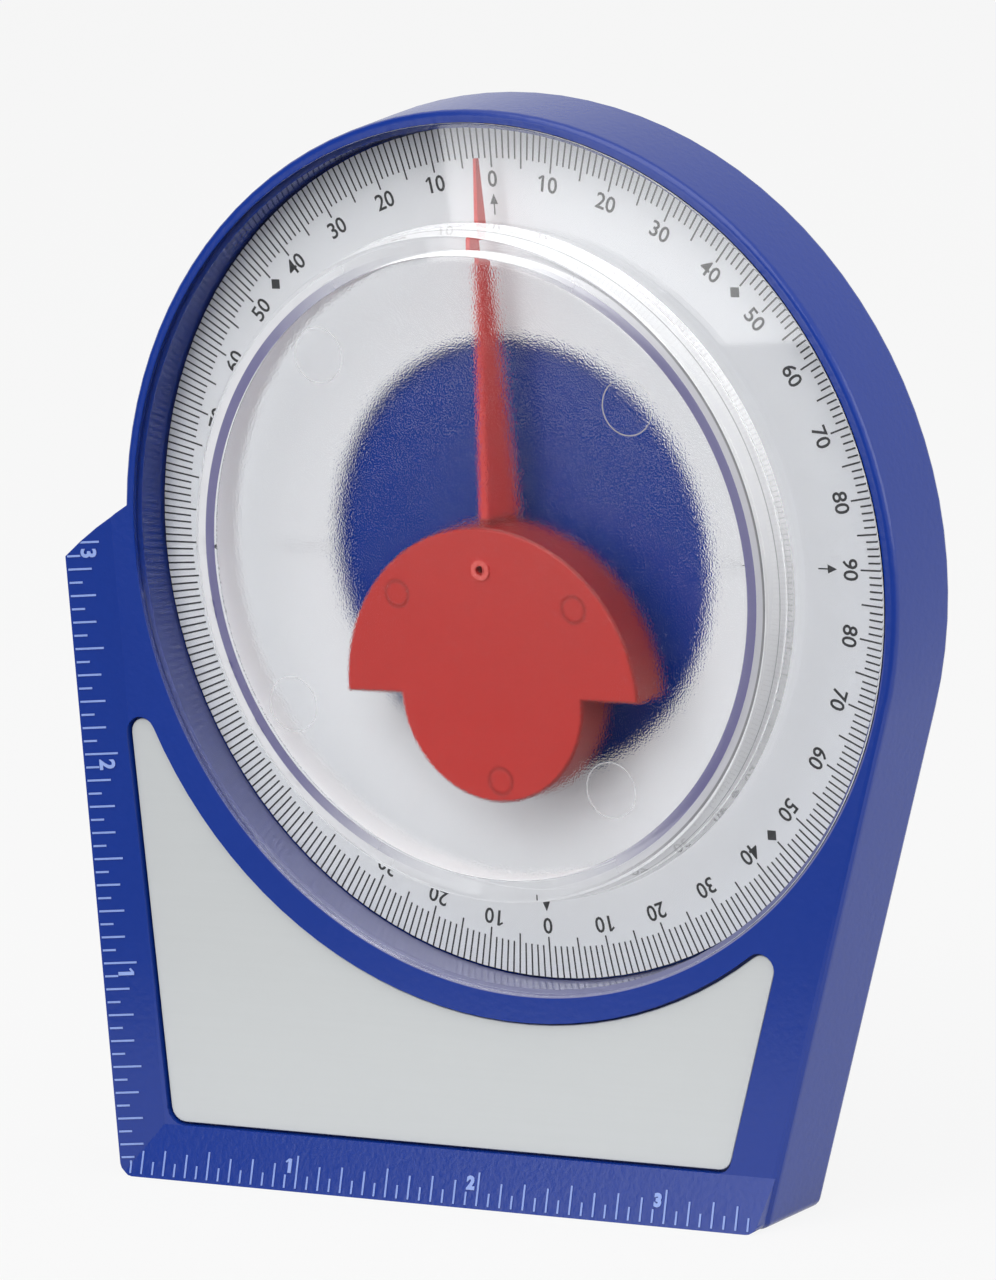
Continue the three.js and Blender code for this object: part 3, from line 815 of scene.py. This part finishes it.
class ANGLE_LEVEL_OT_ruler_numbers(bpy.types.Operator):
    """Adds the raised inch numbers to both ruler lips"""

    bl_idname = "angle_level.ruler_numbers"
    bl_label = "Ruler numbers"

    # How far a number stands before its inch line and in from the edge, and its strokes' weight
    base_before, base_in, base_weight, base_share = 0.00135, 0.0030, 0.06, 0.88
    left_before, left_in, left_weight = 0.00065, 0.00285, 0.03

    def execute(self, context):
        settings = context.scene.angle_ruler
        material = raised_mark(settings)
        rise = -settings.mark_rise / 2
        base, left = [], []
        for value in (1, 2, 3):
            line = value * inch
            base.append(numeral(str(value), settings.numeral * self.base_share,
                                settings.mark_rise, self.base_weight,
                                (line - self.base_before, rise, self.base_in)))
            left.append(numeral(str(value), settings.numeral,
                                settings.mark_rise, self.left_weight,
                                (self.left_in, rise, line - self.left_before), math.pi / 2))
        base = join(base, "base_ruler_numbers")
        base.rotation_euler.x = -math.atan2(settings.lip_depth, settings.base_lip)
        left = join(left, "left_ruler_numbers")
        left.rotation_euler.z = math.atan2(settings.lip_depth, settings.left_lip)
        for piece in (base, left):
            piece.location = (housing_low.x, housing_low.y, housing_low.z)
            finished(place(piece), "case", material)
        return {"FINISHED"}


class ANGLE_LEVEL_OT_dial(bpy.types.Operator):
    """Adds the dial card with its printed divisions and numbers"""

    bl_idname = "angle_level.dial"
    bl_label = "Dial"

    ink = 0.00002
    margin = 0.00002
    numeral_weight = 0.012
    diamond_radius, diamond_side = 0.0436, 0.0011
    shaft_radius, shaft_width, shaft_length = 0.0400, 0.00016, 0.0016
    head_radius, head_width, head_length = 0.0410, 0.0012, 0.0012
    head_flatness = 0.02

    # The two level lines: angle, inner and outer radius
    levels = ((-90, 0.0255, 0.0338), (90, 0.0268, 0.0345))
    level_width = 0.0001

    def at(self, radius, angle):
        """A place on the card, by radius and degrees clockwise from the top."""
        bearing = math.radians(angle)
        return Vector((pivot.x + radius * math.sin(bearing), dial_low.y - self.ink / 2,
                       pivot.z + radius * math.cos(bearing)))

    def divisions(self, inner, outer, width, count):
        """Radial bars, the first one straight up, spun round the dial's centre."""
        mark = bar(width, outer - inner, self.ink, self.at((inner + outer) / 2, 0))
        only(mark)
        bpy.ops.object.mode_set(mode="EDIT")
        bpy.ops.mesh.select_all(action="SELECT")
        bpy.ops.mesh.spin(steps=count - 1, dupli=True, angle=2 * math.pi * (count - 1) / count,
                          center=pivot, axis=(0, 1, 0))
        bpy.ops.object.mode_set(mode="OBJECT")
        return mark

    def execute(self, context):
        settings = context.scene.angle_dial
        card = model_from("dial", "dial_card")
        smooth(card)
        finished(card, "case", dial_card(settings))
        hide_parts("dial")

        outer = (dial_high.x - dial_low.x) / 2 - self.margin
        width = settings.division_width
        prints = [self.divisions(settings.short_division, outer, width, 360),
                  self.divisions(settings.long_division, settings.short_division, width, 72)]
        for angle in range(0, 360, 10):
            value = 90 - abs(90 - angle % 180)
            prints.append(numeral(str(value), settings.numeral, self.ink, self.numeral_weight,
                                  self.at(settings.numeral_radius, angle), math.radians(angle)))
        for angle in range(45, 360, 90):
            diamond = bar(self.diamond_side, self.diamond_side, self.ink)
            prints.append(self.turned(diamond, self.diamond_radius, angle, 45))
        for angle in range(0, 360, 90):
            prints += self.arrow(angle)
        for angle, inner, far in self.levels:
            line = bar(self.level_width, far - inner, self.ink)
            prints.append(self.turned(line, (inner + far) / 2, angle))
        ink = join(prints, "dial_print")
        only(ink)
        bpy.ops.transform.rotate(value=math.radians(settings.turn), orient_axis="Y",
                                 center_override=pivot)
        place(ink)
        finished(ink, "case", dial_ink(settings))
        return {"FINISHED"}

    def turned(self, mark, radius, angle, more=0):
        """Puts a mark on the card, turned by its angle and more degrees."""
        mark.rotation_euler.y = math.radians(angle + more)
        mark.location = self.at(radius, angle)
        return place(mark)

    def arrow(self, angle):
        """The shaft and head of an arrow that points outwards."""
        shaft = bar(self.shaft_width, self.shaft_length, self.ink)
        bpy.ops.mesh.primitive_cone_add(
            vertices=3, radius1=self.head_width / 2, radius2=0, depth=self.head_length)
        head = bpy.context.view_layer.objects.active
        head.scale = (1, self.head_flatness, 1)
        place(head)
        return [self.turned(shaft, self.shaft_radius, angle),
                self.turned(head, self.head_radius, angle)]


class ANGLE_LEVEL_OT_window(bpy.types.Operator):
    """Makes the clear lens with its frosted middle and ejector marks"""

    bl_idname = "angle_level.window"
    bl_label = "Window"

    # How far the window's side leans in, and the roundings of the lens's corners
    taper = 0.0008
    edge_rounding = 0.0003
    foot_rounding = 0.00003
    inner_rounding = 0.00015
    rim_rounding = 0.00018

    def execute(self, context):
        settings = context.scene.angle_window
        piece = spun(self.section(settings), "lens_moulding")
        smooth(piece, 30)
        finished(piece, "case", clear_moulding(settings))
        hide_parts("lens")
        return {"FINISHED"}

    def section(self, settings):
        """Half the lens's section: radius, depth behind the window's front, rounding."""
        back = lens_high.y - lens_low.y
        front = back - settings.flange
        rim = well_mouth - settings.rim_gap
        inside = settings.radius - settings.wall
        return (
            (0, 0, 0),
            (settings.radius - self.taper, 0, self.edge_rounding),
            (settings.radius, front, self.foot_rounding),
            (rim, front, self.rim_rounding),
            (rim, back, 0),
            (inside, back, 0),
            (inside, settings.thickness, self.inner_rounding),
            (0, settings.thickness, 0),
        )


class ANGLE_LEVEL_OT_pendulum(bpy.types.Operator):
    """Finishes the weighted pendulum, its pivot and the parts on it"""

    bl_idname = "angle_level.pendulum"
    bl_label = "Pendulum"

    edge = 0.00012
    small_edge = 0.00008

    def execute(self, context):
        settings = context.scene.angle_pendulum
        piece = model_from("pendulum", "pendulum_moulding")
        soften(piece, self.edge)
        smooth(piece)
        finished(piece, "pendulum", moulded_red(settings))
        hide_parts("pendulum")
        steel = bare_metal("bright_steel", (0.50, 0.51, 0.53), 0.25)
        brass = bare_metal("turned_brass", (0.55, 0.36, 0.14), 0.25, (1, 0.05, 1))
        nylon = milky_nylon()
        for node, body, slot, material in (
                ("pivot_pin", "case", "steel", steel),
                ("pin_push_nut", "case", "steel", steel),
                ("spacer_washer", "case", "nylon", nylon),
                ("pivot_bush", "pendulum", "brass", brass),
                ("ballast_slug", "pendulum", "steel", steel)):
            part = model_from(node, node + "_finished")
            soften(part, self.small_edge, 1)
            smooth(part)
            finished(part, body, material)
            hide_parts(node)
        return {"FINISHED"}


class ANGLE_LEVEL_OT_label(bpy.types.Operator):
    """Finishes the bare silver plate"""

    bl_idname = "angle_level.label"
    bl_label = "Label plate"

    edge = 0.00012

    def execute(self, context):
        settings = context.scene.angle_label
        piece = model_from("label_plate", "label_foil")
        soften(piece, self.edge)
        smooth(piece)
        finished(piece, "case", silver_foil(settings))
        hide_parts("label_plate")
        return {"FINISHED"}


class ANGLE_LEVEL_OT_hardware(bpy.types.Operator):
    """Finishes the magnets, pole strips and cover screws"""

    bl_idname = "angle_level.hardware"
    bl_label = "Magnets and screws"

    edge = 0.0001

    def execute(self, context):
        zinc = bare_metal("zinc_plate", (0.56, 0.57, 0.60), 0.28)
        rolled = bare_metal("rolled_steel", (0.42, 0.43, 0.45), 0.32, (0.03, 1, 1))
        ferrite = pressed_ferrite()
        for node in sorted(frame["nodes"]):
            if node.startswith("cover_screw"):
                slot, material = "steel", zinc
            elif node.startswith("pole_strip"):
                slot, material = "steel", rolled
            elif node.startswith("magnet"):
                slot, material = "ferrite", ferrite
            else:
                continue
            part = model_from(node, node + "_finished")
            soften(part, self.edge, 1)
            smooth(part)
            finished(part, "case", material)
            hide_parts(node)
        return {"FINISHED"}


class ANGLE_LEVEL_OT_studio(bpy.types.Operator):
    """Adds the floor, the lamps and the camera"""

    bl_idname = "angle_level.studio"
    bl_label = "Studio"

    # How much brighter than the backdrop the floor glows, and the glow's share of its look
    floor_lift, floor_glow = 1.018, 0.94

    # Name, place and size in metres, and power in watts
    lamps = (
        ("soft_box", (-0.220, -0.55, 0.154), (0.25, 0.30), 0.55),
        ("key_light", (-0.35, -1.0, 0.85), (0.6, 0.6), 1.8),
        ("overhead", (0.12, -0.60, 1.15), (1.3, 1.3), 12.0),
        ("side_light", (1.15, 0.15, 0.35), (0.8, 0.8), 4.5),
    )

    # The dark cloth on the floor, in front and at the left: place, turn and size
    sheets = (
        ((-0.25, -0.68, cad_low.z + 0.001), (0, 0, 0), (1.8, 1.2)),
        ((-0.25, -1.28, 0.6), (math.pi / 2, 0, 0), (2.4, 2.4)),
        ((-1.15, -0.5, 0.6), (math.pi / 2, 0, math.pi / 2), (1.6, 2.4)),
    )

    def execute(self, context):
        settings = context.scene.angle_studio
        self.floor(settings)
        self.dark_cloth()
        self.surroundings(settings)
        for name, at, size, power in self.lamps:
            self.lamp(name, at, size, power)
        self.camera(settings)
        return {"FINISHED"}

    def floor(self, settings):
        """A matt floor that looks as bright as the backdrop."""
        bpy.ops.mesh.primitive_plane_add(size=14, location=(0, 0, cad_low.z - 0.00002))
        floor = bpy.context.view_layer.objects.active
        floor.name = "floor"
        finish = Finish("pale_floor")
        matt = finish.node("ShaderNodeBsdfDiffuse", {}, {0: (0.85, 0.85, 0.85, 1)})
        white = settings.background * self.floor_lift
        glow = finish.node("ShaderNodeEmission", {}, {0: (white, white, white, 1)})
        path = finish.node("ShaderNodeLightPath")
        seen = Amount(finish, path.outputs["Is Camera Ray"]).or_more(
            Amount(finish, path.outputs["Is Glossy Ray"])).or_more(
            Amount(finish, path.outputs["Is Transmission Ray"]))
        finish.show(finish.mixed(seen * self.floor_glow, matt.outputs[0], glow.outputs[0]))
        floor.data.materials.append(finish.material)

    def dark_cloth(self):
        """A dark cloth in front, on the floor and hanging, which only reflections show."""
        sheets = []
        for at, turn, size in self.sheets:
            bpy.ops.mesh.primitive_plane_add(size=1, location=at, rotation=turn)
            sheet = bpy.context.view_layer.objects.active
            sheet.scale = (*size, 1)
            sheets.append(place(sheet))
        cloth = join(sheets, "dark_cloth")
        finish = Finish("dark_cloth")
        matt = finish.node("ShaderNodeBsdfDiffuse", {}, {0: (0.05, 0.05, 0.05, 1)})
        finish.show(matt.outputs[0])
        cloth.data.materials.append(finish.material)
        cloth.visible_camera = False
        cloth.visible_diffuse = False
        cloth.visible_shadow = False

    def surroundings(self, settings):
        """A world that looks brighter than the light that it gives."""
        world = bpy.data.worlds.new("studio")
        world.use_nodes = True
        tree = world.node_tree
        tree.nodes.clear()
        output = tree.nodes.new("ShaderNodeOutputWorld")
        backdrop = tree.nodes.new("ShaderNodeBackground")
        ambient = tree.nodes.new("ShaderNodeBackground")
        mix = tree.nodes.new("ShaderNodeMixShader")
        path = tree.nodes.new("ShaderNodeLightPath")
        backdrop.inputs["Strength"].default_value = settings.background
        ambient.inputs["Strength"].default_value = settings.ambient
        for node in (backdrop, ambient):
            node.inputs["Color"].default_value = (1, 1, 1, 1)
        either = tree.nodes.new("ShaderNodeMath")
        shown = tree.nodes.new("ShaderNodeMath")
        for node in (either, shown):
            node.operation = "MAXIMUM"
        tree.links.new(path.outputs["Is Camera Ray"], either.inputs[0])
        tree.links.new(path.outputs["Is Glossy Ray"], either.inputs[1])
        tree.links.new(either.outputs[0], shown.inputs[0])
        tree.links.new(path.outputs["Is Transmission Ray"], shown.inputs[1])
        tree.links.new(shown.outputs[0], mix.inputs[0])
        tree.links.new(ambient.outputs[0], mix.inputs[1])
        tree.links.new(backdrop.outputs[0], mix.inputs[2])
        tree.links.new(mix.outputs[0], output.inputs["Surface"])
        bpy.context.scene.world = world

    def lamp(self, name, at, size, power):
        """A rectangular lamp that faces the object."""
        bpy.ops.object.light_add(type="AREA", location=at)
        lamp = bpy.context.view_layer.objects.active
        lamp.name = name
        lamp.data.shape = "RECTANGLE"
        lamp.data.size, lamp.data.size_y = size
        lamp.data.energy = power
        middle = (cad_low + cad_high) / 2
        lamp.rotation_euler = (middle - Vector(at)).to_track_quat("-Z", "Y").to_euler()

    def camera(self, settings):
        """The camera that the photo was fitted to."""
        azimuth, elevation, roll = settings.azimuth, settings.elevation, settings.roll
        back = Vector((math.sin(azimuth) * math.cos(elevation),
                       -math.cos(azimuth) * math.cos(elevation), math.sin(elevation)))
        right = Vector((math.cos(azimuth), math.sin(azimuth), 0))
        up = back.cross(right)
        leaning_right = math.cos(roll) * right + math.sin(roll) * up
        leaning_up = back.cross(leaning_right)
        bpy.ops.object.camera_add(location=Vector(settings.target) + settings.distance * back)
        camera = bpy.context.view_layer.objects.active
        camera.rotation_euler = Matrix((leaning_right, leaning_up, back)).transposed().to_euler()
        camera.data.lens = settings.lens
        camera.data.sensor_width = 36
        camera.data.clip_start = 0.01
        bpy.context.scene.camera = camera
        bpy.context.scene.view_settings.view_transform = "Standard"


operators = (
    ANGLE_LEVEL_OT_case,
    ANGLE_LEVEL_OT_ruler_numbers,
    ANGLE_LEVEL_OT_dial,
    ANGLE_LEVEL_OT_window,
    ANGLE_LEVEL_OT_pendulum,
    ANGLE_LEVEL_OT_label,
    ANGLE_LEVEL_OT_hardware,
    ANGLE_LEVEL_OT_studio,
)

setting_groups = {
    "angle_case": CaseSettings,
    "angle_ruler": RulerSettings,
    "angle_dial": DialSettings,
    "angle_window": WindowSettings,
    "angle_pendulum": PendulumSettings,
    "angle_label": LabelSettings,
    "angle_studio": StudioSettings,
}


class ANGLE_LEVEL_PT_panel(bpy.types.Panel):
    """Lists the pieces of the angle level"""

    bl_idname = "ANGLE_LEVEL_PT_panel"
    bl_label = "Angle level"
    bl_space_type = "VIEW_3D"
    bl_region_type = "UI"
    bl_category = "Angle level"

    def draw(self, context):
        for operator in operators:
            self.layout.operator(operator.bl_idname)
        for name, group in setting_groups.items():
            box = self.layout.box()
            box.label(text=name.removeprefix("angle_").capitalize())
            for setting in group.__annotations__:
                box.prop(getattr(context.scene, name), setting)


def register():
    for name, group in setting_groups.items():
        bpy.utils.register_class(group)
        setattr(bpy.types.Scene, name, PointerProperty(type=group))
    for operator in operators:
        bpy.utils.register_class(operator)
    bpy.utils.register_class(ANGLE_LEVEL_PT_panel)


def unregister():
    bpy.utils.unregister_class(ANGLE_LEVEL_PT_panel)
    for operator in reversed(operators):
        bpy.utils.unregister_class(operator)
    for name, group in setting_groups.items():
        delattr(bpy.types.Scene, name)
        bpy.utils.unregister_class(group)


def main():
    register()
    bpy.ops.angle_level.studio()
    bpy.ops.angle_level.case()
    bpy.ops.angle_level.ruler_numbers()
    bpy.ops.angle_level.dial()
    bpy.ops.angle_level.window()
    bpy.ops.angle_level.pendulum()
    bpy.ops.angle_level.label()
    bpy.ops.angle_level.hardware()


if __name__ == "__main__":
    main()
